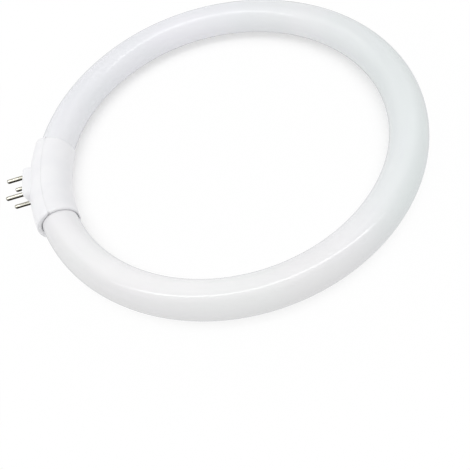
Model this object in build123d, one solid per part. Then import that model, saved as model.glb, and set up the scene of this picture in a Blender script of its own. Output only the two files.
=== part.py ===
from build123d import *
import os
from math import cos, degrees, isclose, pi, radians, sin

# Millimetres. The ring lies flat, with its axis along +Z and its base on the -X side.
# Around the base, "along" follows the tube, "across" is up and down, and "out" points away from the ring.

# Glass tube
TUBE_DIAMETER = 12.7
RING_MEAN_DIAMETER = 132.0
TUBE_END_GAP = 15.0
TUBE_END_ROUND = 2.6
EXHAUST_TIP_DIAMETER = 2.6
EXHAUST_TIP_LENGTH = 2.4
EXHAUST_TIP_ROUND = 1.0

# Moulded base, two half sleeves with a lapped seam. Its wall is the mean one: the sleeve is offset outwards,
# so that its wall is thin inside the ring, and it is shifted along the tube from the boss's middle.
BASE_LENGTH = 36.6
BASE_WALL = 1.05
BASE_OFFSET = 0.55
BASE_SHIFT = 1.9
BASE_END_ROUND = 0.35
TUBE_CLEARANCE = 0.15
SEAM_GAP = 0.03
SEAM_EDGE_BREAK = 0.05
LIP_THICKNESS = 0.45
LIP_DEPTH = 0.8
LIP_CLEARANCE = 0.05
STOP_RIB_THICKNESS = 1.0
STOP_RIB_HEIGHT = 1.5
STOP_RIB_CLEARANCE = 0.3

# Boss on the outer half, which carries the pins
BOSS_PROUD = 1.1
BOSS_FLOOR = 1.6
BOSS_CORNER = 2.2
BOSS_EDGE_ROUND = 1.0
BOSS_END_MARGIN = 2.8
BOSS_SIDE_MARGIN = 3.0
POCKET_CLEARANCE = 0.15
POCKET_CORNER = 0.6

# Contact pins
PIN_DIAMETER = 1.6
PIN_LENGTH = 7.45
PIN_TIP_ROUND = 0.6
PIN_ALONG = 8.2
PIN_ACROSS = 5.4
PIN_BODY_DIAMETER = 2.0
PIN_CLEARANCE = 0.04
PIN_FLANGE_DIAMETER = 2.6
PIN_FLANGE_THICKNESS = 0.6
PIN_BARREL_LENGTH = 2.6

# Lead wires
WIRE_DIAMETER = 0.5
WIRE_BEND = 2.4
WIRE_SOCKET_DEPTH = 3.0
WIRE_CLEARANCE = 0.06

# Radii from the tube's centre line
RING_RADIUS = RING_MEAN_DIAMETER / 2
TUBE_RADIUS = TUBE_DIAMETER / 2
BORE_RADIUS = TUBE_RADIUS + TUBE_CLEARANCE
LAP_RADIUS = BORE_RADIUS + LIP_THICKNESS
RIB_ROOT_RADIUS = BORE_RADIUS + (BASE_WALL - BASE_OFFSET) / 2

# Radius from the sleeve's own centre line
SLEEVE_RADIUS = BORE_RADIUS + BASE_WALL

# Length of the cuts that run out through both ends of the sleeve
THROUGH_CUT = BASE_LENGTH + 2 * BASE_WALL

# Distances out from the tube's centre line
BOSS_FACE = BASE_OFFSET + SLEEVE_RADIUS + BOSS_PROUD
BOSS_REAR = BASE_OFFSET + LIP_DEPTH
PIN_SEAT = BOSS_FACE - BOSS_FLOOR
PIN_REAR = PIN_SEAT - PIN_FLANGE_THICKNESS - PIN_BARREL_LENGTH
PIN_TIP = BOSS_FACE + PIN_LENGTH

# The frame's origin lies below the middle of the whole lamp, on the surface that it lies on
RING_X = (PIN_TIP - TUBE_RADIUS) / 2
RING_Z = SLEEVE_RADIUS

# Bearings round the ring, in degrees from +X
BOSS_BEARING = 180
SLEEVE_BEARING = BOSS_BEARING + degrees(BASE_SHIFT / RING_RADIUS)
FAR_BEARING = 0

SIDES = (1, -1)


def arc_angle(length):
    """Angle, in degrees, of a length along the tube's centre line."""
    return degrees(length / RING_RADIUS)


def bent_along_ring(section, length, middle=SLEEVE_BEARING):
    """Turns a section about the ring's axis, over a length of the centre line about one bearing."""
    angle = arc_angle(length)
    return Rot(0, 0, middle - angle / 2) * revolve(section, Axis.Z, angle)


def section_plane(offset=0):
    """Plane of a cross-section, on the tube's centre line or further out, with its x pointing out."""
    return Plane.XZ * Pos(RING_RADIUS + offset, 0, 0)


def tube_end(side):
    """Plane of one sealed end, facing the other end across the gap."""
    half_gap = radians(arc_angle(TUBE_END_GAP) / 2)
    origin = (-RING_RADIUS * cos(half_gap), side * RING_RADIUS * sin(half_gap), 0)
    towards_gap = (-sin(half_gap), -side * cos(half_gap), 0)
    return Plane(origin, x_dir=(0, 0, 1), z_dir=towards_gap)


def glass_tube():
    """Ring of tube with two rounded, sealed ends and the sealed tip that each was pumped through."""
    section = section_plane() * Circle(TUBE_RADIUS)
    tube = bent_along_ring(section, pi * RING_MEAN_DIAMETER - TUBE_END_GAP, FAR_BEARING)
    rims = tube.edges().filter_by(GeomType.CIRCLE).filter_by(lambda e: isclose(e.radius, TUBE_RADIUS))
    tube = fillet(rims, TUBE_END_ROUND)
    for side in SIDES:
        tip = extrude(Circle(EXHAUST_TIP_DIAMETER / 2), EXHAUST_TIP_LENGTH)
        tip = fillet(tip.edges().group_by(Axis.Z)[-1], EXHAUST_TIP_ROUND)
        tube += tube_end(side) * tip
    return tube


def half_round(side):
    """Half of the sleeve's round section, with the sharp edges taken off its two seams."""
    start = SEAM_GAP / 2
    shoulder = SLEEVE_RADIUS - SEAM_EDGE_BREAK
    far = start + SLEEVE_RADIUS
    flare = shoulder + SLEEVE_RADIUS
    corners = [(start, shoulder), (far, flare), (far, -flare), (start, -shoulder)]
    return Circle(SLEEVE_RADIUS) & Polygon(*[(side * x, y) for x, y in corners], align=None)


def half_sleeve(side):
    """Half of the sleeve before it is hollowed, with the rims of its two ends rounded."""
    sleeve = bent_along_ring(section_plane(BASE_OFFSET) * half_round(side), BASE_LENGTH)
    rims = sleeve.edges().filter_by(GeomType.CIRCLE).filter_by(lambda e: isclose(e.radius, SLEEVE_RADIUS))
    return fillet(rims, BASE_END_ROUND)


def bore():
    """Room for the tube, right through the sleeve."""
    return bent_along_ring(section_plane() * Circle(BORE_RADIUS), THROUGH_CUT)


def lip_strips(clearance, length):
    """Strips along both seams, inside the wall, that the lips fill and their rebates leave free."""
    depth = LIP_DEPTH - clearance
    strips = Pos(BASE_OFFSET, 0) * Rectangle(2 * depth, 2 * (LAP_RADIUS - clearance)) - Circle(BORE_RADIUS)
    return bent_along_ring(section_plane() * strips, length)


def stop_ribs(side):
    """Ribs in one half sleeve that stop the tube's two ends."""
    root = RIB_ROOT_RADIUS
    half = Pos(BASE_OFFSET + side * (LIP_DEPTH + root / 2), 0) * Rectangle(root, 2 * root)
    section = section_plane() * ((Circle(root) - Circle(BORE_RADIUS - STOP_RIB_HEIGHT)) & half)
    turn = arc_angle(TUBE_END_GAP / 2 - STOP_RIB_CLEARANCE - STOP_RIB_THICKNESS / 2)
    return [bent_along_ring(section, STOP_RIB_THICKNESS, BOSS_BEARING + end * turn) for end in SIDES]


def facing_out(distance):
    """Plane that faces out of the ring at the boss's middle, with its x along the tube and its y up."""
    return Plane((-RING_RADIUS - distance, 0, 0), x_dir=(0, -1, 0), z_dir=(-1, 0, 0))


def pin_places():
    """Places of the four pins on a plane that faces out."""
    return [(along * PIN_ALONG / 2, across * PIN_ACROSS / 2) for along in SIDES for across in SIDES]


def boss():
    """Block with radial ends and rounded edges that stands out of the sleeve round the pins."""
    height = PIN_ACROSS + 2 * BOSS_SIDE_MARGIN
    front = RING_RADIUS + BOSS_FACE
    rear = RING_RADIUS + BOSS_REAR
    front_end = PIN_ALONG / 2 + BOSS_END_MARGIN
    rear_end = front_end * rear / front
    plan = Polygon(
        (-front, -front_end),
        (-rear, -rear_end),
        (-rear, rear_end),
        (-front, front_end),
        align=None,
    )
    block = Pos(0, 0, -height / 2) * extrude(plan, height)
    corners = block.edges() - block.edges().filter_by(Axis.Y) - block.edges().filter_by(Axis.Z)
    block = fillet(corners, BOSS_CORNER)
    return fillet(block.edges().group_by(Axis.X)[0], BOSS_EDGE_ROUND)


def boss_pocket():
    """Hollow of the boss, which leaves the floor that the pins' flanges seat on."""
    room = PIN_FLANGE_DIAMETER + 2 * POCKET_CLEARANCE
    outline = RectangleRounded(PIN_ALONG + room, PIN_ACROSS + room, POCKET_CORNER)
    return facing_out(BOSS_REAR) * extrude(outline, PIN_SEAT - BOSS_REAR)


def pin_holes():
    """Holes through the boss's floor, one for each pin."""
    hole = extrude(Circle(PIN_BODY_DIAMETER / 2 + PIN_CLEARANCE), BOSS_FLOOR)
    return [facing_out(PIN_SEAT) * Pos(*place) * hole for place in pin_places()]


def base_outer_half():
    """Outer half of the base: a half sleeve with a hollow boss, rebated along both seams."""
    hollows = [bore(), boss_pocket(), *pin_holes()]
    sleeve = half_sleeve(1) - lip_strips(0, THROUGH_CUT) - hollows
    return sleeve + (boss() - hollows) + stop_ribs(1)


def base_inner_half():
    """Inner half of the base: a plain half sleeve with a lip along each seam."""
    lips = lip_strips(LIP_CLEARANCE, BASE_LENGTH - 2 * BASE_END_ROUND)
    return half_sleeve(-1) + lips - bore() + stop_ribs(-1)


def contact_pin(place):
    """Turned pin: a body with a seating flange and a socket for the wire, and a round-tipped shank."""
    body_length = BOSS_FACE - PIN_REAR
    body = extrude(Circle(PIN_BODY_DIAMETER / 2), body_length)
    flange = Pos(0, 0, PIN_BARREL_LENGTH) * extrude(Circle(PIN_FLANGE_DIAMETER / 2), PIN_FLANGE_THICKNESS)
    shank = extrude(Circle(PIN_DIAMETER / 2), PIN_LENGTH)
    shank = Pos(0, 0, body_length) * fillet(shank.edges().group_by(Axis.Z)[-1], PIN_TIP_ROUND)
    socket = extrude(Circle(WIRE_DIAMETER / 2 + WIRE_CLEARANCE), WIRE_SOCKET_DEPTH)
    return facing_out(PIN_REAR) * Pos(*place) * (body + flange + shank - socket)


def lead_wire(place):
    """Wire from a sealed end of the tube, bent out into the socket of its pin."""
    along, across = place
    end = tube_end(1 if along < 0 else -1)
    start = end.origin
    reach = (abs(start.Y) - abs(along)) / abs(end.z_dir.Y)
    corner = start + end.z_dir * reach
    stop = Vector(-RING_RADIUS - PIN_REAR - WIRE_SOCKET_DEPTH + WIRE_CLEARANCE, corner.Y, 0)
    route = Pos(0, 0, across) * FilletPolyline(start, corner, stop, radius=WIRE_BEND)
    return sweep(Plane(route @ 0, z_dir=route % 0) * Circle(WIRE_DIAMETER / 2), route)


def lamp():
    """Every piece of the lamp, by name, in the ring's own frame."""
    pieces = {
        "glass_tube": glass_tube(),
        "base_outer_half": base_outer_half(),
        "base_inner_half": base_inner_half(),
    }
    for number, place in enumerate(pin_places(), start=1):
        pieces[f"contact_pin_{number}"] = contact_pin(place)
        pieces[f"lead_wire_{number}"] = lead_wire(place)
    return pieces


os.makedirs("parts", exist_ok=True)
for name, piece in lamp().items():
    export_step(Pos(RING_X, 0, RING_Z) * piece, f"parts/{name}.step")
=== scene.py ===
"""Dresses the ring lamp: coated glass, a moulded base and brass pins, in a plain studio."""

from __future__ import annotations

import logging
import math
from abc import ABC, abstractmethod
from dataclasses import dataclass
from enum import Enum
from typing import Any

import bpy
from mathutils import Matrix, Vector

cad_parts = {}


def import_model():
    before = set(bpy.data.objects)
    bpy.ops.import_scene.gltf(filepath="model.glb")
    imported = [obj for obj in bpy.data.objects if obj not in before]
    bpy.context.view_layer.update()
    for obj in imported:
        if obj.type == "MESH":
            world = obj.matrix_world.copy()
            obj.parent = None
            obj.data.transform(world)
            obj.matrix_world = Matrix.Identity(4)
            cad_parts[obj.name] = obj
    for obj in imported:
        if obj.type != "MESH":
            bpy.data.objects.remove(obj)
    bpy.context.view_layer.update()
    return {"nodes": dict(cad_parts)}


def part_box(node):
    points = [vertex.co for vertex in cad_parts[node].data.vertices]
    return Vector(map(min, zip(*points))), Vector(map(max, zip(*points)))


LOG = logging.getLogger("ring_lamp")
MILLIMETRES_PER_METRE = 1000.0

Colour = tuple[float, float, float]
Direction = tuple[float, float, float]
Span = tuple[float, float]

WHITE: Colour = (1.0, 1.0, 1.0)
BEVEL_SAMPLES = 6

# Places of the colour sockets among those of a Mix node.
MIX_SHARE, MIX_FIRST, MIX_SECOND = 0, 6, 7
MIX_RESULT = 2


class RayKind(Enum):
    """Rays that see the studio's white background, by the Light Path node's names."""

    CAMERA = "Is Camera Ray"
    GLOSSY = "Is Glossy Ray"
    TRANSMISSION = "Is Transmission Ray"


class BlendMode(Enum):
    """Ways to put one colour over another, by the Mix node's names."""

    COVER = "MIX"
    TINT = "MULTIPLY"


class Axis(Enum):
    """Axes of the frame, by their place in a vector."""

    X = 0
    Y = 1
    Z = 2


class NodeGroup(Enum):
    """Groups of the frame's nodes, by the word that their names start with."""

    GLASS = "glass_tube"
    BASE = "base_"
    PINS = "contact_pin_"
    WIRES = "lead_wire_"


class Value:
    """One output socket that takes part in plain arithmetic: each operator adds a Math node."""

    def __init__(self, graph: NodeGraph, socket: bpy.types.NodeSocket | None) -> None:
        """Keeps the socket and the graph that it belongs to."""
        self.graph = graph
        self.socket = socket

    def math(self, operation: str, *operands: Any) -> Value:
        """Result of a Math node with the given numbers and values, in order."""
        return self.graph.add("ShaderNodeMath", {"operation": operation}, dict(enumerate(operands)))

    def __add__(self, other: Any) -> Value:
        """Sum of this value and another."""
        return self.math("ADD", self, other)

    def __radd__(self, other: Any) -> Value:
        """Sum of a number and this value."""
        return self.math("ADD", other, self)

    def __sub__(self, other: Any) -> Value:
        """This value less another."""
        return self.math("SUBTRACT", self, other)

    def __rsub__(self, other: Any) -> Value:
        """A number less this value."""
        return self.math("SUBTRACT", other, self)

    def __mul__(self, other: Any) -> Value:
        """Product of this value and another."""
        return self.math("MULTIPLY", self, other)

    def __rmul__(self, other: Any) -> Value:
        """Product of a number and this value."""
        return self.math("MULTIPLY", other, self)

    def __pow__(self, other: Any) -> Value:
        """This value to a power."""
        return self.math("POWER", self, other)

    def __rpow__(self, other: Any) -> Value:
        """A number to the power of this value."""
        return self.math("POWER", other, self)

    def __abs__(self) -> Value:
        """This value without its sign."""
        return self.math("ABSOLUTE", self)

    def at_most(self, limit: float) -> Value:
        """This value, or a limit where it is larger."""
        return self.math("MINIMUM", self, limit)

    def bearing(self, ahead: Value) -> Value:
        """Angle of a point that lies this far to the side and a given distance ahead."""
        return self.math("ARCTAN2", self, ahead)


@dataclass(frozen=True)
class Pattern:
    """Soft noise that marks out patches of a surface.

    Attributes:
        size: Size of a patch, in metres.
        detail: Number of finer layers laid over it.
        span: Values of the noise where a patch starts and where it is full.
        strength: How strong a full patch is.
    """

    size: float
    detail: float
    span: Span = (0.0, 1.0)
    strength: float = 1.0


class NodeGraph:
    """Node tree of a material or a world, filled through one method that adds nodes."""

    def __init__(self, tree: bpy.types.NodeTree) -> None:
        """Takes over a tree and empties it."""
        self.tree = tree
        self.tree.nodes.clear()

    def add(
        self,
        kind: str,
        settings: dict[str, Any],
        inputs: dict[str | int, Any],
        output: str | int = 0,
    ) -> Value:
        """Adds a node, sets it up and links it.

        Args:
            kind: The node's type.
            settings: Properties of the node, which are set first.
            inputs: Values, numbers or colours of its input sockets, by name or index.
            output: Name or index of the output socket that is wanted.

        Returns:
            That output as a value.
        """
        node = self.tree.nodes.new(kind)
        for name, setting in settings.items():
            setattr(node, name, setting)
        for key, given in inputs.items():
            socket = node.inputs[key]
            if isinstance(given, Value):
                self.tree.links.new(given.socket, socket)
            elif socket.type == "RGBA":
                socket.default_value = (*given, 1.0)
            else:
                socket.default_value = given
        return Value(self, node.outputs[output] if len(node.outputs) else None)

    def point(self) -> Value:
        """Place of a point on the object, in metres."""
        return self.add("ShaderNodeTexCoord", {}, {}, "Object")

    def part(self, vector: Value, axis: Axis) -> Value:
        """One coordinate of a vector."""
        return self.add("ShaderNodeSeparateXYZ", {}, {"Vector": vector}, axis.name)

    def vector(self, x: Any, y: Any, z: Any) -> Value:
        """Vector put together from three values."""
        return self.add("ShaderNodeCombineXYZ", {}, {"X": x, "Y": y, "Z": z})

    def along(self, vector: Value, direction: Direction) -> Value:
        """How far a vector goes in a direction."""
        settings = {"operation": "DOT_PRODUCT"}
        return self.add("ShaderNodeVectorMath", settings, {0: vector, 1: direction}, "Value")

    def distance(self, vector: Value, place: Vector) -> Value:
        """How far a point is from a place."""
        settings = {"operation": "DISTANCE"}
        return self.add("ShaderNodeVectorMath", settings, {0: vector, 1: place}, "Value")

    def noise(self, vector: Value, pattern: Pattern) -> Value:
        """Plain noise of a pattern's size and detail, from 0 to 1."""
        inputs = {"Vector": vector, "Scale": 1 / pattern.size, "Detail": pattern.detail}
        return self.add("ShaderNodeTexNoise", {}, inputs)

    def patches(self, vector: Value, pattern: Pattern) -> Value:
        """Patches of a pattern, from 0 between them to its strength inside them."""
        return self.ramp(self.noise(vector, pattern), pattern.span, 0.0, pattern.strength)

    def ramp(self, value: Value, span: Span, start: float = 0.0, end: float = 1.0) -> Value:
        """Smooth step between two values.

        Args:
            value: What is stepped.
            span: Where the step starts and ends.
            start: Result before the step.
            end: Result after the step.

        Returns:
            The stepped value.
        """
        low, high = span
        inputs = {"Value": value, "From Min": low, "From Max": high, "To Min": start, "To Max": end}
        return self.add("ShaderNodeMapRange", {"interpolation_type": "SMOOTHSTEP"}, inputs)

    def between(self, share: Value, span: Span) -> Value:
        """Number at a share of the way from one end of a span to the other."""
        return share * (span[1] - span[0]) + span[0]

    def blend(
        self, share: Value, first: Any, second: Any, mode: BlendMode = BlendMode.COVER
    ) -> Value:
        """Puts one colour over another.

        Args:
            share: How much the second colour counts.
            first: Colour below.
            second: Colour over it, or what a tint keeps of red, green and blue.
            mode: How the second colour is put over the first.

        Returns:
            The blended colour.
        """
        settings = {"data_type": "RGBA", "blend_type": mode.value}
        inputs = {MIX_SHARE: share, MIX_FIRST: first, MIX_SECOND: second}
        return self.add("ShaderNodeMix", settings, inputs, MIX_RESULT)

    def relief(self, height: Value, depth: float, edge_round: Value | None = None) -> Value:
        """Normal of a surface with fine relief.

        Args:
            height: Height of the relief, from 0 to 1.
            depth: What a height of 1 stands for, in metres.
            edge_round: Radius that softens the surface's sharp edges, in metres.

        Returns:
            The normal.
        """
        inputs = {"Distance": depth, "Height": height}
        if edge_round is not None:
            settings = {"samples": BEVEL_SAMPLES}
            inputs["Normal"] = self.add("ShaderNodeBevel", settings, {"Radius": edge_round})
        return self.add("ShaderNodeBump", {}, inputs)

    def principled(self, inputs: dict[str | int, Any]) -> Value:
        """Main shader with the given sockets."""
        return self.add("ShaderNodeBsdfPrincipled", {}, inputs)

    def seen_directly(self) -> Value:
        """Tells rays that see the white background itself from the light that it casts.

        Returns:
            1 for those rays, and 0 for that light.
        """
        camera, glossy, through = (
            self.add("ShaderNodeLightPath", {}, {}, kind.value) for kind in RayKind
        )
        return (camera + glossy + through).at_most(1.0)

    def surface(self, shader: Value) -> None:
        """Ends a material's graph in a shader."""
        self.add("ShaderNodeOutputMaterial", {}, {"Surface": shader})


@dataclass(frozen=True)
class RingPath:
    """Centre line of the bent tube.

    Attributes:
        centre: The ring's centre, in metres.
        radius: Radius of the centre line.
        tube_radius: Radius of the tube.
    """

    centre: Vector
    radius: float
    tube_radius: float

    @classmethod
    def of_glass(cls, node: str) -> RingPath:
        """Ring that a bent tube's box holds.

        Args:
            node: Name of the tube's node, which is cut open on the -X side only.

        Returns:
            Its centre line.
        """
        low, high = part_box(node)
        tube_radius = (high.z - low.z) / 2
        outer_radius = (high.y - low.y) / 2
        centre = Vector((high.x - outer_radius, (low.y + high.y) / 2, (low.z + high.z) / 2))
        return cls(centre, outer_radius - tube_radius, tube_radius)

    def away(self, graph: NodeGraph, axis: Axis) -> Value:
        """How far a point lies from the ring's centre along an axis, in metres."""
        return graph.part(graph.point(), axis) - self.centre[axis.value]

    def straightened(self, graph: NodeGraph, stretch: float = 1.0) -> Value:
        """Coordinates of the tube as if it were straight: along it, out and up, in metres.

        Args:
            graph: The material's graph.
            stretch: How much longer a pattern's patches are along the tube than across it.

        Returns:
            The coordinates.
        """
        across, deep, up = (self.away(graph, axis) for axis in Axis)
        reach = (across * across + deep * deep) ** 0.5
        along = deep.bearing(across) * (self.radius / stretch)
        return graph.vector(along, reach - self.radius, up)

    def from_pins(self, graph: NodeGraph) -> Value:
        """Distance along the tube from the pins on the -X side, towards +Y, in metres."""
        across, deep = self.away(graph, Axis.X), self.away(graph, Axis.Y)
        return deep.bearing(across * -1.0) * self.radius

    def toward(self, graph: NodeGraph, bearing: float) -> Value:
        """How far a point lies to one side of the ring's centre.

        Args:
            graph: The material's graph.
            bearing: That side's turn from +X towards +Y, in degrees.

        Returns:
            The distance to that side, in radii of the centre line.
        """
        angle = math.radians(bearing)
        across, deep = self.away(graph, Axis.X), self.away(graph, Axis.Y)
        return across * (math.cos(angle) / self.radius) + deep * (math.sin(angle) / self.radius)


@dataclass(frozen=True)
class TintAndPaintedLight:
    """Slow change of a coat's colour on one side of the ring; some only change its hue, some also
    darken the tube there as painted shade, and one lightens a flank of the tube as painted light.

    Attributes:
        bearing: Where the middle of that side lies, as a turn from +X towards +Y, in degrees.
        reach: How far to that side a point lies, in ring radii, where the tint starts and is full.
        kept: What the tint keeps of red, green and blue.
        flank: How far out on the tube a point lies, in tube radii, where the tint starts and is
            full; None for a tint all round the tube.
    """

    bearing: float
    reach: Span
    kept: Colour
    flank: Span | None = None


# Greenish tint on the ring's +X side, which also darkens the tube there as painted shade.
COOL_TINT_AND_PAINTED_SHADE = TintAndPaintedLight(350.0, (0.50, 1.02), (0.920, 0.962, 0.945))
WARM_TINT = TintAndPaintedLight(245.0, (0.40, 0.95), (1.0, 0.986, 0.976))
LILAC_TINT = TintAndPaintedLight(115.0, (0.30, 0.95), (1.014, 1.012, 1.034))
# Painted shade: darkens the tube on the ring's +Y side, all but its inner flank.
PAINTED_SHADE_FAR_TOP = TintAndPaintedLight(75.0, (-0.20, 0.50), (0.945, 0.945, 0.948), flank=(-0.60, -0.25))
# Painted light: lightens the inner flank of the tube on the ring's side towards -X and -Y.
PAINTED_LIGHT_NEAR_INNER = TintAndPaintedLight(238.0, (0.72, 0.92), (1.07, 1.07, 1.07), flank=(0.35, -0.45))


@dataclass(frozen=True)
class Finish(ABC):
    """Finish of a surface, which fills a material of its own."""

    @property
    @abstractmethod
    def name(self) -> str:
        """Name of the material."""

    @abstractmethod
    def shade(self, graph: NodeGraph) -> Value:
        """Adds the finish to a material's graph.

        Args:
            graph: The material's graph.

        Returns:
            The shader.
        """

    def material(self) -> bpy.types.Material:
        """Makes the material that the finish fills.

        Returns:
            The material.
        """
        material = bpy.data.materials.new(self.name)
        material.use_nodes = True
        graph = NodeGraph(material.node_tree)
        graph.surface(self.shade(graph))
        return material


@dataclass(frozen=True)
class CoatedGlass(Finish):
    """Thin clear glass with a white powder coat behind it.

    Attributes:
        path: Centre line of the tube.
        powder: Colour of the coat.
        thin_powder: Colour where the coat is thinner.
        streak_powder: Colour of the streaks that the coat left as it drained.
        painted_outer_shade: Colour on the outer side of the tube all round, painted shade that
            darkens that side.
        tints_and_painted_light: Slow changes of the coat's colour round the ring, with painted
            shade and painted light on some sides and flanks of the tube.
        painted_edge_shade: Painted shade at the tube's edges, where the wall turns away from view.
        painted_edge_shade_share: How much of that painted shade shows at the very edge.
        turned_away: How far the wall turns away where that colour starts and is full.
        outer_flank: How far out a point lies, in tube radii, where that painted shade starts and is
            full.
        clouds: Patches of thinner coat.
        streaks: Streaks in the coat.
        streak_stretch: How much longer than wide a streak is.
        speckles: Grains of powder.
        touches: Marks that hands left.
        waves: Waves that bending left in the glass.
        wave_depth: Height of such a wave, in metres.
        roughness: Roughness of clean glass, and of glass that has been touched.
        bend: How strongly the glass bends light.
    """

    path: RingPath
    powder: Colour = (0.868, 0.87, 0.888)
    thin_powder: Colour = (0.815, 0.841, 0.845)
    streak_powder: Colour = (0.845, 0.842, 0.876)
    painted_outer_shade: Colour = (0.80, 0.806, 0.822)
    tints_and_painted_light: tuple[TintAndPaintedLight, ...] = (COOL_TINT_AND_PAINTED_SHADE, WARM_TINT, LILAC_TINT, PAINTED_SHADE_FAR_TOP, PAINTED_LIGHT_NEAR_INNER)
    painted_edge_shade: Colour = (0.42, 0.44, 0.47)
    painted_edge_shade_share: float = 0.8
    turned_away: Span = (0.64, 0.95)
    outer_flank: Span = (0.05, 0.60)
    clouds: Pattern = Pattern(0.045, 3.0, (0.40, 0.68), 0.6)
    streaks: Pattern = Pattern(0.0024, 2.0, (0.52, 0.74), 0.35)
    streak_stretch: float = 8.0
    speckles: Pattern = Pattern(0.0004, 1.0, (0.58, 0.78), 0.12)
    touches: Pattern = Pattern(0.013, 4.0, (0.45, 0.72))
    waves: Pattern = Pattern(0.0105, 1.0)
    wave_depth: float = 0.00006
    roughness: Span = (0.055, 0.09)
    bend: float = 1.5

    @property
    def name(self) -> str:
        """Name of the material."""
        return "coated_glass"

    def colour(self, graph: NodeGraph, even: Value, drawn: Value) -> Value:
        """Colour of the coat, seen through the wall, with painted shade at the tube's edges, on its
        outer side and on some sides of the ring, and painted light on one flank.

        Args:
            graph: The material's graph.
            even: Coordinates along and across the tube.
            drawn: The same coordinates, for what is drawn out along the tube.

        Returns:
            The colour.
        """
        outward = graph.part(even, Axis.Y) * (1 / self.path.tube_radius)
        # Painted shade: the outer side of the tube is darker all round the ring.
        outer_flank = graph.ramp(outward, self.outer_flank)
        coat = graph.blend(outer_flank, self.powder, self.painted_outer_shade)
        coat = graph.blend(graph.patches(even, self.clouds), coat, self.thin_powder)
        marks = graph.patches(drawn, self.streaks) + graph.patches(even, self.speckles)
        coat = graph.blend(marks, coat, self.streak_powder)
        # Some of these darken or lighten one side or flank of the tube: painted shade and painted
        # light.
        for tint in self.tints_and_painted_light:
            side = graph.ramp(self.path.toward(graph, tint.bearing), tint.reach)
            if tint.flank is not None:
                side = side * graph.ramp(outward, tint.flank)
            coat = graph.blend(side, coat, tint.kept, BlendMode.TINT)
        # Painted shade along the tube's edges, where the wall turns away from view.
        facing = graph.add("ShaderNodeLayerWeight", {}, {}, "Facing")
        edge = graph.ramp(facing, self.turned_away, 0.0, self.painted_edge_shade_share)
        return graph.blend(edge, coat, self.painted_edge_shade)

    def shade(self, graph: NodeGraph) -> Value:
        """Shader of the glass and the coat behind it.

        Args:
            graph: The material's graph.

        Returns:
            The shader.
        """
        even = self.path.straightened(graph)
        drawn = self.path.straightened(graph, self.streak_stretch)
        touched = graph.patches(even, self.touches)
        return graph.principled({
            "Base Color": self.colour(graph, even, drawn),
            "Roughness": graph.between(touched, self.roughness),
            "IOR": self.bend,
            "Normal": graph.relief(graph.noise(drawn, self.waves), self.wave_depth),
        })


@dataclass(frozen=True)
class SatinPlastic(Finish):
    """Satin white plastic with the fine grain of its mould.

    Attributes:
        path: Centre line of the tube that the sleeve holds.
        middle: Where the sleeve's middle lies, as a distance along the tube from the pins.
        mouth_reach: Distances along the tube from that middle between which edges get rounder.
        edge_round: Radius of the mould's sharp edges, and of the edges of the sleeve's mouths.
        body: Main colour.
        shaded: Colour of the faint clouds in it.
        dusty: Colour of the dust that handling leaves.
        clouds: Faint clouds in the colour.
        dust: Patches of dust.
        grain_wear: Patches where handling has left the grain full or polished it.
        grain: Grain of the mould.
        grain_depth: Height of the grain, in metres.
        roughness: Roughness where the plastic is polished, and where its grain is full.
        bend: How strongly the plastic bends light.
    """

    path: RingPath
    middle: float
    mouth_reach: Span
    edge_round: Span
    body: Colour = (0.917, 0.917, 0.932)
    shaded: Colour = (0.897, 0.897, 0.917)
    dusty: Colour = (0.88, 0.875, 0.87)
    clouds: Pattern = Pattern(0.0077, 3.0, (0.38, 0.66))
    dust: Pattern = Pattern(0.0019, 5.0, (0.60, 0.82), 0.25)
    grain_wear: Pattern = Pattern(0.0048, 3.0, (0.36, 0.70))
    grain: Pattern = Pattern(0.00022, 2.0)
    grain_depth: float = 0.000012
    roughness: Span = (0.34, 0.50)
    bend: float = 1.48

    @property
    def name(self) -> str:
        """Name of the material."""
        return "satin_plastic"

    def rounding(self, graph: NodeGraph) -> Value:
        """Radius of the edges, which is larger at the sleeve's two mouths."""
        from_middle = abs(self.path.from_pins(graph) - self.middle)
        return graph.ramp(from_middle, self.mouth_reach, *self.edge_round)

    def shade(self, graph: NodeGraph) -> Value:
        """Shader of the plastic.

        Args:
            graph: The material's graph.

        Returns:
            The shader.
        """
        point = graph.point()
        grain = graph.noise(point, self.grain)
        colour = graph.blend(graph.patches(point, self.clouds), self.body, self.shaded)
        return graph.principled({
            "Base Color": graph.blend(graph.patches(point, self.dust), colour, self.dusty),
            "Roughness": graph.between(graph.patches(point, self.grain_wear), self.roughness),
            "IOR": self.bend,
            "Normal": graph.relief(grain, self.grain_depth, self.rounding(graph)),
        })


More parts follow.
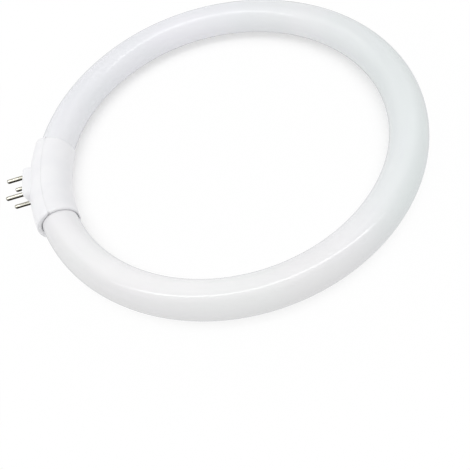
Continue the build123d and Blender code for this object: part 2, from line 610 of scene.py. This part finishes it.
@dataclass(frozen=True)
class TurnedBrass(Finish):
    """Pale brass with lathe lines, a painted highlight on both flanks and painted black shade low
    on one.

    Attributes:
        lathe_lines: Lines that the lathe left, by their place along the pin.
        lathe_depth: Depth of a lathe line, in metres.
        bright: Colour of clean brass, which shows mostly in the painted highlight.
        tarnished_and_unlit: Colour of brass that has dulled, and of all brass outside the painted
            highlight.
        painted_shade_black: Painted black shade on the surfaces that face down and towards -Y.
        painted_edge_shade_tint: Share of light that a glancing reflection keeps; kept near black,
            it paints dark shade along the pins' edges.
        stains: Stains on the brass.
        off_highlight_dulling: How far the brass is dulled outside the painted highlight.
        stain_dulling: How much a stain dulls the brass.
        line_dulling: How much a lathe line dulls it.
        stain_shift: How far a stain moves the edge of the painted black shade.
        painted_highlight_side: Direction that the surfaces with the painted highlight face, or its
            mirror image.
        painted_highlight_reach: How far a surface faces that way where the painted highlight
            starts, and where it is full.
        painted_shade_side: Direction that the surfaces with the painted black shade face.
        painted_shade_reach: How far a surface faces that way where the painted black shade starts
            and is full.
        roughness: Roughness of clean brass, and of dulled brass.
    """

    lathe_lines: Pattern
    lathe_depth: float
    bright: Colour = (0.86, 0.845, 0.76)
    tarnished_and_unlit: Colour = (0.30, 0.285, 0.225)
    painted_shade_black: Colour = (0.035, 0.030, 0.020)
    painted_edge_shade_tint: Colour = (0.06, 0.055, 0.04)
    stains: Pattern = Pattern(0.0015, 4.0, (0.48, 0.72))
    off_highlight_dulling: float = 0.9
    stain_dulling: float = 0.4
    line_dulling: float = 0.12
    stain_shift: float = 0.12
    painted_highlight_side: Direction = (0.0, 0.69, 0.72)
    painted_highlight_reach: Span = (0.74, 0.96)
    painted_shade_side: Direction = (0.0, -0.72, -0.69)
    painted_shade_reach: Span = (0.02, 0.30)
    roughness: Span = (0.16, 0.38)

    @property
    def name(self) -> str:
        """Name of the material."""
        return "turned_brass"

    def shade(self, graph: NodeGraph) -> Value:
        """Shader of the brass.

        Args:
            graph: The material's graph.

        Returns:
            The shader.
        """
        point = graph.point()
        stain = graph.patches(point, self.stains)
        lines = graph.noise(graph.vector(graph.part(point, Axis.X), 0.0, 0.0), self.lathe_lines)
        facing = graph.add("ShaderNodeNewGeometry", {}, {}, "Normal")
        mirrored = graph.add("ShaderNodeVectorMath", {"operation": "ABSOLUTE"}, {0: facing})
        # Painted highlight: the brass is bright only on the flanks that face one way, and darker
        # elsewhere.
        toward_painted_highlight = graph.along(mirrored, self.painted_highlight_side)
        off_painted_highlight = graph.ramp(toward_painted_highlight, self.painted_highlight_reach, self.off_highlight_dulling, 0.0)
        dull_and_off_highlight = (off_painted_highlight + stain * self.stain_dulling + lines * self.line_dulling).at_most(1.0)
        # Painted black shade on surfaces that face down and towards -Y.
        low = graph.along(facing, self.painted_shade_side) - stain * self.stain_shift
        colour = graph.blend(dull_and_off_highlight, self.bright, self.tarnished_and_unlit)
        return graph.principled({
            "Base Color": graph.blend(graph.ramp(low, self.painted_shade_reach), colour, self.painted_shade_black),
            "Metallic": 1.0,
            "Roughness": graph.between(dull_and_off_highlight, self.roughness),
            # Near-black tint of glancing reflections: painted shade along the pins' edges.
            "Specular Tint": self.painted_edge_shade_tint,
            "Normal": graph.relief(lines, self.lathe_depth),
        })


@dataclass(frozen=True)
class DrawnWire(Finish):
    """Dull wire with patches of oxide.

    Attributes:
        oxide: Patches of oxide.
        clean: Colour of clean wire.
        dulled: Colour where it has dulled.
        roughness: Roughness of clean wire, and of dulled wire.
    """

    oxide: Pattern
    clean: Colour = (0.62, 0.60, 0.57)
    dulled: Colour = (0.42, 0.39, 0.36)
    roughness: Span = (0.24, 0.46)

    @property
    def name(self) -> str:
        """Name of the material."""
        return "drawn_wire"

    def shade(self, graph: NodeGraph) -> Value:
        """Shader of the wire.

        Args:
            graph: The material's graph.

        Returns:
            The shader.
        """
        dulled = graph.patches(graph.point(), self.oxide)
        return graph.principled({
            "Base Color": graph.blend(dulled, self.clean, self.dulled),
            "Metallic": 1.0,
            "Roughness": graph.between(dulled, self.roughness),
        })


@dataclass(frozen=True)
class StudioPaper(Finish):
    """Pale paper of the floor, which reads as white and still takes a shadow, deepened by a band of
    painted shade round the tube.

    Attributes:
        path: Centre line of the tube that lies on the paper.
        pale: Main colour.
        fibre: Colour of its faint fibres.
        fibres: Pattern of the fibres.
        open_glow: Share of plain white in what is seen directly, in the ring and far from it.
        contact_glow: The same share in a band round the tube, where less white paints the floor
            darker and deepens the shadow.
        inner_reach: Distances from the ring's middle between which that band of painted shade
            grows.
        outer_reach: Distances between which it ends.
        far_reach: Distances between which the paper turns white, covering the lamps' shadow.
        roughness: Roughness of the paper.
    """

    path: RingPath
    pale: Colour = (0.96, 0.96, 0.96)
    fibre: Colour = (0.94, 0.94, 0.94)
    fibres: Pattern = Pattern(0.0011, 3.0)
    open_glow: Span = (0.96, 1.0)
    contact_glow: float = 0.55
    inner_reach: Span = (0.054, 0.063)
    outer_reach: Span = (0.064, 0.075)
    far_reach: Span = (0.080, 0.12)
    roughness: float = 0.9

    @property
    def name(self) -> str:
        """Name of the material."""
        return "studio_paper"

    def glow(self, graph: NodeGraph, point: Value) -> Value:
        """Share of plain white in what is seen directly.

        Args:
            graph: The material's graph.
            point: Place on the paper.

        Returns:
            The share.
        """
        distance = graph.distance(point, Vector((self.path.centre.x, self.path.centre.y, 0.0)))
        grown = graph.ramp(distance, self.inner_reach)
        # A band of painted shade round the tube: less white there lets the lamps' shadow show
        # stronger.
        painted_shade_band = grown * graph.ramp(distance, self.outer_reach, 1.0, 0.0)
        clear = graph.ramp(distance, self.far_reach, *self.open_glow)
        return clear - painted_shade_band * (self.open_glow[0] - self.contact_glow)

    def shade(self, graph: NodeGraph) -> Value:
        """Shader of the paper.

        Args:
            graph: The material's graph.

        Returns:
            The shader.
        """
        point = graph.point()
        paper = graph.principled({
            "Base Color": graph.blend(graph.noise(point, self.fibres), self.pale, self.fibre),
            "Roughness": self.roughness,
            "Specular IOR Level": 0.0,
        })
        white = graph.add("ShaderNodeEmission", {}, {"Color": WHITE, "Strength": 1.0})
        share = graph.seen_directly() * self.glow(graph, point)
        return graph.add("ShaderNodeMixShader", {}, {0: share, 1: paper, 2: white})


@dataclass(frozen=True)
class SubAssembly(ABC):
    """Pieces of the lamp that belong together.

    Attributes:
        nodes: The frame's objects, by name.
    """

    nodes: dict[str, bpy.types.Object]

    @property
    @abstractmethod
    def group(self) -> NodeGroup:
        """The group of nodes that the sub-assembly is made of."""

    @abstractmethod
    def finish(self) -> Finish:
        """The finish that its pieces get."""

    def names(self) -> list[str]:
        """Names of its nodes, in order."""
        return sorted(name for name in self.nodes if name.startswith(self.group.value))

    def dress(self) -> None:
        """Gives every piece its finish and reports it."""
        material = self.finish().material()
        for name in self.names():
            node = self.nodes[name]
            for slot in node.material_slots:
                slot.material = material
            low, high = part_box(name)
            size = " x ".join(f"{length * MILLIMETRES_PER_METRE:.1f}" for length in high - low)
            faces = len(node.data.polygons)
            LOG.info("%s: %s mm, %d faces, finish %s", name, size, faces, material.name)


@dataclass(frozen=True)
class GlassRing(SubAssembly):
    """Glass tube, bent into a ring.

    Attributes:
        path: Centre line and radius of the tube.
    """

    path: RingPath

    @property
    def group(self) -> NodeGroup:
        """The tube's node."""
        return NodeGroup.GLASS

    def finish(self) -> Finish:
        """Coated glass, with its streaks along the ring."""
        return CoatedGlass(self.path)


@dataclass(frozen=True)
class MouldedBase(SubAssembly):
    """Two half sleeves that hold the tube's ends and the pins.

    Attributes:
        path: Centre line of the tube that the sleeve holds.
        middle: Where the sleeve's middle lies, as a distance along the tube from the pins.
        mouth_reach: Distances along the tube from that middle between which edges get rounder.
        edge_round: Radius of the mould's sharp edges, and of the edges of the sleeve's mouths.
    """

    path: RingPath
    middle: float = -0.0019
    mouth_reach: Span = (0.0168, 0.0178)
    edge_round: Span = (0.0002, 0.0010)

    @property
    def group(self) -> NodeGroup:
        """The two halves."""
        return NodeGroup.BASE

    def finish(self) -> Finish:
        """Satin plastic, rounder at the sleeve's mouths."""
        return SatinPlastic(self.path, self.middle, self.mouth_reach, self.edge_round)


@dataclass(frozen=True)
class ContactPins(SubAssembly):
    """Four turned pins.

    Attributes:
        lathe_lines: Lines that the lathe left, by their place along the pin.
        lathe_depth: Depth of a lathe line, in metres.
    """

    lathe_lines: Pattern = Pattern(0.00016, 2.0)
    lathe_depth: float = 0.000004

    @property
    def group(self) -> NodeGroup:
        """The four pins."""
        return NodeGroup.PINS

    def finish(self) -> Finish:
        """Turned brass."""
        return TurnedBrass(self.lathe_lines, self.lathe_depth)


@dataclass(frozen=True)
class LeadWires(SubAssembly):
    """Wires from the tube's sealed ends to the pins.

    Attributes:
        oxide: Patches of oxide on them.
    """

    oxide: Pattern = Pattern(0.0011, 4.0, (0.4, 0.7))

    @property
    def group(self) -> NodeGroup:
        """The four wires."""
        return NodeGroup.WIRES

    def finish(self) -> Finish:
        """Drawn wire."""
        return DrawnWire(self.oxide)


@dataclass(frozen=True)
class Softbox:
    """Soft lamp that faces the ring.

    Attributes:
        name: The lamp's name.
        place: Where it stands, in metres from the ring's centre.
        width: Its width.
        depth: Its depth.
        power: Its power, in watts.
        turn: Its turn about its own line of sight, in degrees.
    """

    name: str
    place: Vector
    width: float
    depth: float
    power: float
    turn: float = 0.0

    def light(self, centre: Vector) -> None:
        """Puts the lamp up, turned to a point.

        Args:
            centre: The point that it faces.
        """
        lamp = bpy.data.lights.new(self.name, "AREA")
        lamp.shape = "RECTANGLE"
        lamp.size = self.width
        lamp.size_y = self.depth
        lamp.energy = self.power
        stand = bpy.data.objects.new(self.name, lamp)
        stand.location = centre + self.place
        aim = (-self.place).to_track_quat("-Z", "Y").to_matrix()
        turn = Matrix.Rotation(math.radians(self.turn), 3, "Z")
        stand.rotation_euler = (aim @ turn).to_euler()
        bpy.context.scene.collection.objects.link(stand)
        LOG.info("%s: %.2f W", self.name, self.power)


OVERHEAD_SOFTBOX = Softbox("overhead_softbox", Vector((-0.25, 0.05, 1.15)), 1.4, 1.4, 2.6)
OVERHEAD_STRIP = Softbox("overhead_strip", Vector((0.0, -0.055, 0.46)), 0.90, 0.055, 0.22, -6.0)
STRIP_CORE = Softbox("strip_core", Vector((0.0, -0.057, 0.48)), 0.68, 0.055, 0.36, -6.0)


@dataclass(frozen=True)
class Studio:
    """Pale floor, soft lamps and an even surrounding.

    Attributes:
        path: Centre line of the tube; the lamps face its middle.
        floor_size: Length of a side of the floor, in metres.
        ambient: Strength of the light from all round.
        softboxes: The lamps.
    """

    path: RingPath
    floor_size: float = 6.0
    ambient: float = 0.69
    softboxes: tuple[Softbox, ...] = (OVERHEAD_SOFTBOX, OVERHEAD_STRIP, STRIP_CORE)

    def lay_floor(self) -> None:
        """Lays the floor under the lamp."""
        half = self.floor_size / 2
        corners = [(-half, -half, 0.0), (half, -half, 0.0), (half, half, 0.0), (-half, half, 0.0)]
        mesh = bpy.data.meshes.new("studio_floor")
        mesh.from_pydata(corners, [], [(0, 1, 2, 3)])
        mesh.materials.append(StudioPaper(self.path).material())
        floor = bpy.data.objects.new("studio_floor", mesh)
        bpy.context.scene.collection.objects.link(floor)

    def surround(self) -> None:
        """Sets the even light from all round, behind a white background."""
        world = bpy.data.worlds.new("studio_air")
        bpy.context.scene.world = world
        world.use_nodes = True
        graph = NodeGraph(world.node_tree)
        strength = graph.between(graph.seen_directly(), (self.ambient, 1.0))
        light = graph.add("ShaderNodeBackground", {}, {"Color": WHITE, "Strength": strength})
        graph.add("ShaderNodeOutputWorld", {}, {"Surface": light})

    def build(self) -> None:
        """Builds the floor, the surrounding and the lamps."""
        self.lay_floor()
        self.surround()
        for softbox in self.softboxes:
            softbox.light(self.path.centre)


@dataclass(frozen=True)
class PhotoCamera:
    """Camera at the photograph's viewing angle.

    Attributes:
        centre: The ring's centre, in metres.
        bearing: Turn round the ring, in degrees.
        elevation: Height above the ring's plane, in degrees.
        distance: Distance from the ring's centre.
        pan: Turn to the side, in degrees.
        tilt: Turn downwards, in degrees.
        roll: Turn about the line of sight, in degrees.
        lens: Focal length, in millimetres.
        sensor: Width of the sensor, in millimetres.
        nearest: Distance from which things show, in metres.
    """

    centre: Vector
    bearing: float = 1.57
    elevation: float = 46.138
    distance: float = 0.17371
    pan: float = 2.103
    tilt: float = 12.614
    roll: float = -17.807
    lens: float = 35.0
    sensor: float = 36.0
    nearest: float = 0.0017

    def rotation(self) -> Matrix:
        """Puts the camera's turns together, from the ring outwards.

        Returns:
            The camera's rotation.
        """
        turns = [
            (self.bearing, Axis.Z),
            (90 - self.elevation, Axis.X),
            (self.pan, Axis.Y),
            (-self.tilt, Axis.X),
            (self.roll, Axis.Z),
        ]
        rotation = Matrix.Identity(3)
        for angle, axis in turns:
            rotation = rotation @ Matrix.Rotation(math.radians(angle), 3, axis.name)
        return rotation

    def place(self) -> Vector:
        """Goes out from the ring's centre by bearing, elevation and distance.

        Returns:
            The camera's place.
        """
        angle = math.radians(self.elevation)
        away = Vector((0.0, -math.cos(angle), math.sin(angle))) * self.distance
        return self.centre + Matrix.Rotation(math.radians(self.bearing), 3, "Z") @ away

    def build(self) -> None:
        """Makes the camera and hands it to the scene."""
        data = bpy.data.cameras.new("photo_camera")
        data.lens = self.lens
        data.sensor_width = self.sensor
        data.clip_start = self.nearest
        camera = bpy.data.objects.new("photo_camera", data)
        camera.matrix_world = Matrix.Translation(self.place()) @ self.rotation().to_4x4()
        bpy.context.scene.collection.objects.link(camera)
        bpy.context.scene.camera = camera


def main() -> None:
    """Loads the frame, dresses each sub-assembly and sets up the studio."""
    logging.basicConfig(level=logging.INFO, format="%(name)s: %(message)s")
    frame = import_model()
    nodes = frame["nodes"]
    path = RingPath.of_glass(NodeGroup.GLASS.value)
    assemblies = (
        GlassRing(nodes, path),
        MouldedBase(nodes, path),
        ContactPins(nodes),
        LeadWires(nodes),
    )
    for assembly in assemblies:
        assembly.dress()
    Studio(path).build()
    PhotoCamera(path.centre).build()
    bpy.context.scene.view_settings.view_transform = "Standard"


if __name__ == "__main__":
    main()
